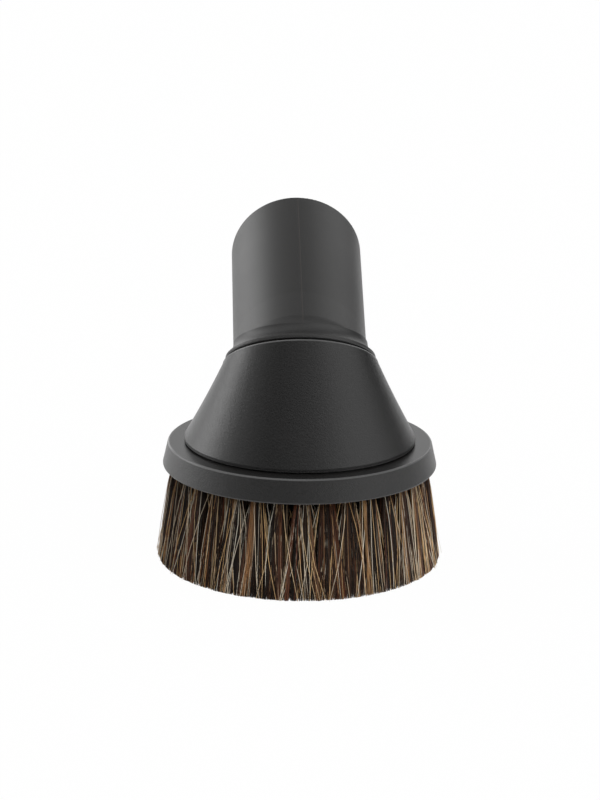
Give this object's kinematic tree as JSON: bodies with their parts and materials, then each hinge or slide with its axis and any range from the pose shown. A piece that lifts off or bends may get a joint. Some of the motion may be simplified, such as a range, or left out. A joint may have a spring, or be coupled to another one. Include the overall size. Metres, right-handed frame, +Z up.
{
  "type": "vacuum dusting brush",
  "caption": "Round vacuum dusting brush: a ring of natural hair tufts under a sloping hood, with a leaning socket neck that swivels on the hood.",
  "frame": {"origin": "on the axis of the brush ring, in the plane of the trimmed bristle tips", "axes": "+Z up along the ring's axis, from the tips to the hood; the neck leans back towards +Y; +X across"},
  "size_m": [0.0844, 0.114, 0.0951],
  "materials": {
    "neck_plastic": "satin charcoal black, very fine grain",
    "hood_plastic": "black, fine spark-eroded grain, semi-gloss",
    "ring_plastic": "black, smooth ledge on top and fine grain on the side",
    "clip_plastic": "plain black, hidden",
    "anchor_wire": "plain bright strip, hidden",
    "horse_hair": "straight natural hair, mixed dark brown, tan, grey and some white"
  },
  "bodies": {
    "brush_head": {"hood": "hood_plastic", "brush_ring": "ring_plastic", "tuft_anchors": "anchor_wire", "outer_tuft_01": "horse_hair", "outer_tuft_02": "horse_hair", "outer_tuft_03": "horse_hair", "outer_tuft_04": "horse_hair", "outer_tuft_05": "horse_hair", "outer_tuft_06": "horse_hair", "outer_tuft_07": "horse_hair", "outer_tuft_08": "horse_hair", "outer_tuft_09": "horse_hair", "outer_tuft_10": "horse_hair", "outer_tuft_11": "horse_hair", "outer_tuft_12": "horse_hair", "outer_tuft_13": "horse_hair", "outer_tuft_14": "horse_hair", "outer_tuft_15": "horse_hair", "outer_tuft_16": "horse_hair", "outer_tuft_17": "horse_hair", "outer_tuft_18": "horse_hair", "outer_tuft_19": "horse_hair", "outer_tuft_20": "horse_hair", "outer_tuft_21": "horse_hair", "outer_tuft_22": "horse_hair", "outer_tuft_23": "horse_hair", "outer_tuft_24": "horse_hair", "outer_tuft_25": "horse_hair", "outer_tuft_26": "horse_hair", "outer_tuft_27": "horse_hair", "outer_tuft_28": "horse_hair", "outer_tuft_29": "horse_hair", "outer_tuft_30": "horse_hair", "outer_tuft_31": "horse_hair", "outer_tuft_32": "horse_hair", "outer_tuft_33": "horse_hair", "outer_tuft_34": "horse_hair", "outer_tuft_35": "horse_hair", "outer_tuft_36": "horse_hair", "inner_tuft_01": "horse_hair", "inner_tuft_02": "horse_hair", "inner_tuft_03": "horse_hair", "inner_tuft_04": "horse_hair", "inner_tuft_05": "horse_hair", "inner_tuft_06": "horse_hair", "inner_tuft_07": "horse_hair", "inner_tuft_08": "horse_hair", "inner_tuft_09": "horse_hair", "inner_tuft_10": "horse_hair", "inner_tuft_11": "horse_hair", "inner_tuft_12": "horse_hair", "inner_tuft_13": "horse_hair", "inner_tuft_14": "horse_hair", "inner_tuft_15": "horse_hair", "inner_tuft_16": "horse_hair", "inner_tuft_17": "horse_hair", "inner_tuft_18": "horse_hair"},
    "swivel_neck": {"neck": "neck_plastic", "locking_ring": "clip_plastic"}
  },
  "joints": [
    {"name": "neck_swivel", "type": "hinge", "parent": "brush_head", "child": "swivel_neck", "pos_m": [0, 0.002, 0.0565], "axis": [0, 0.5446, 0.8387], "continuous": true}
  ]
}
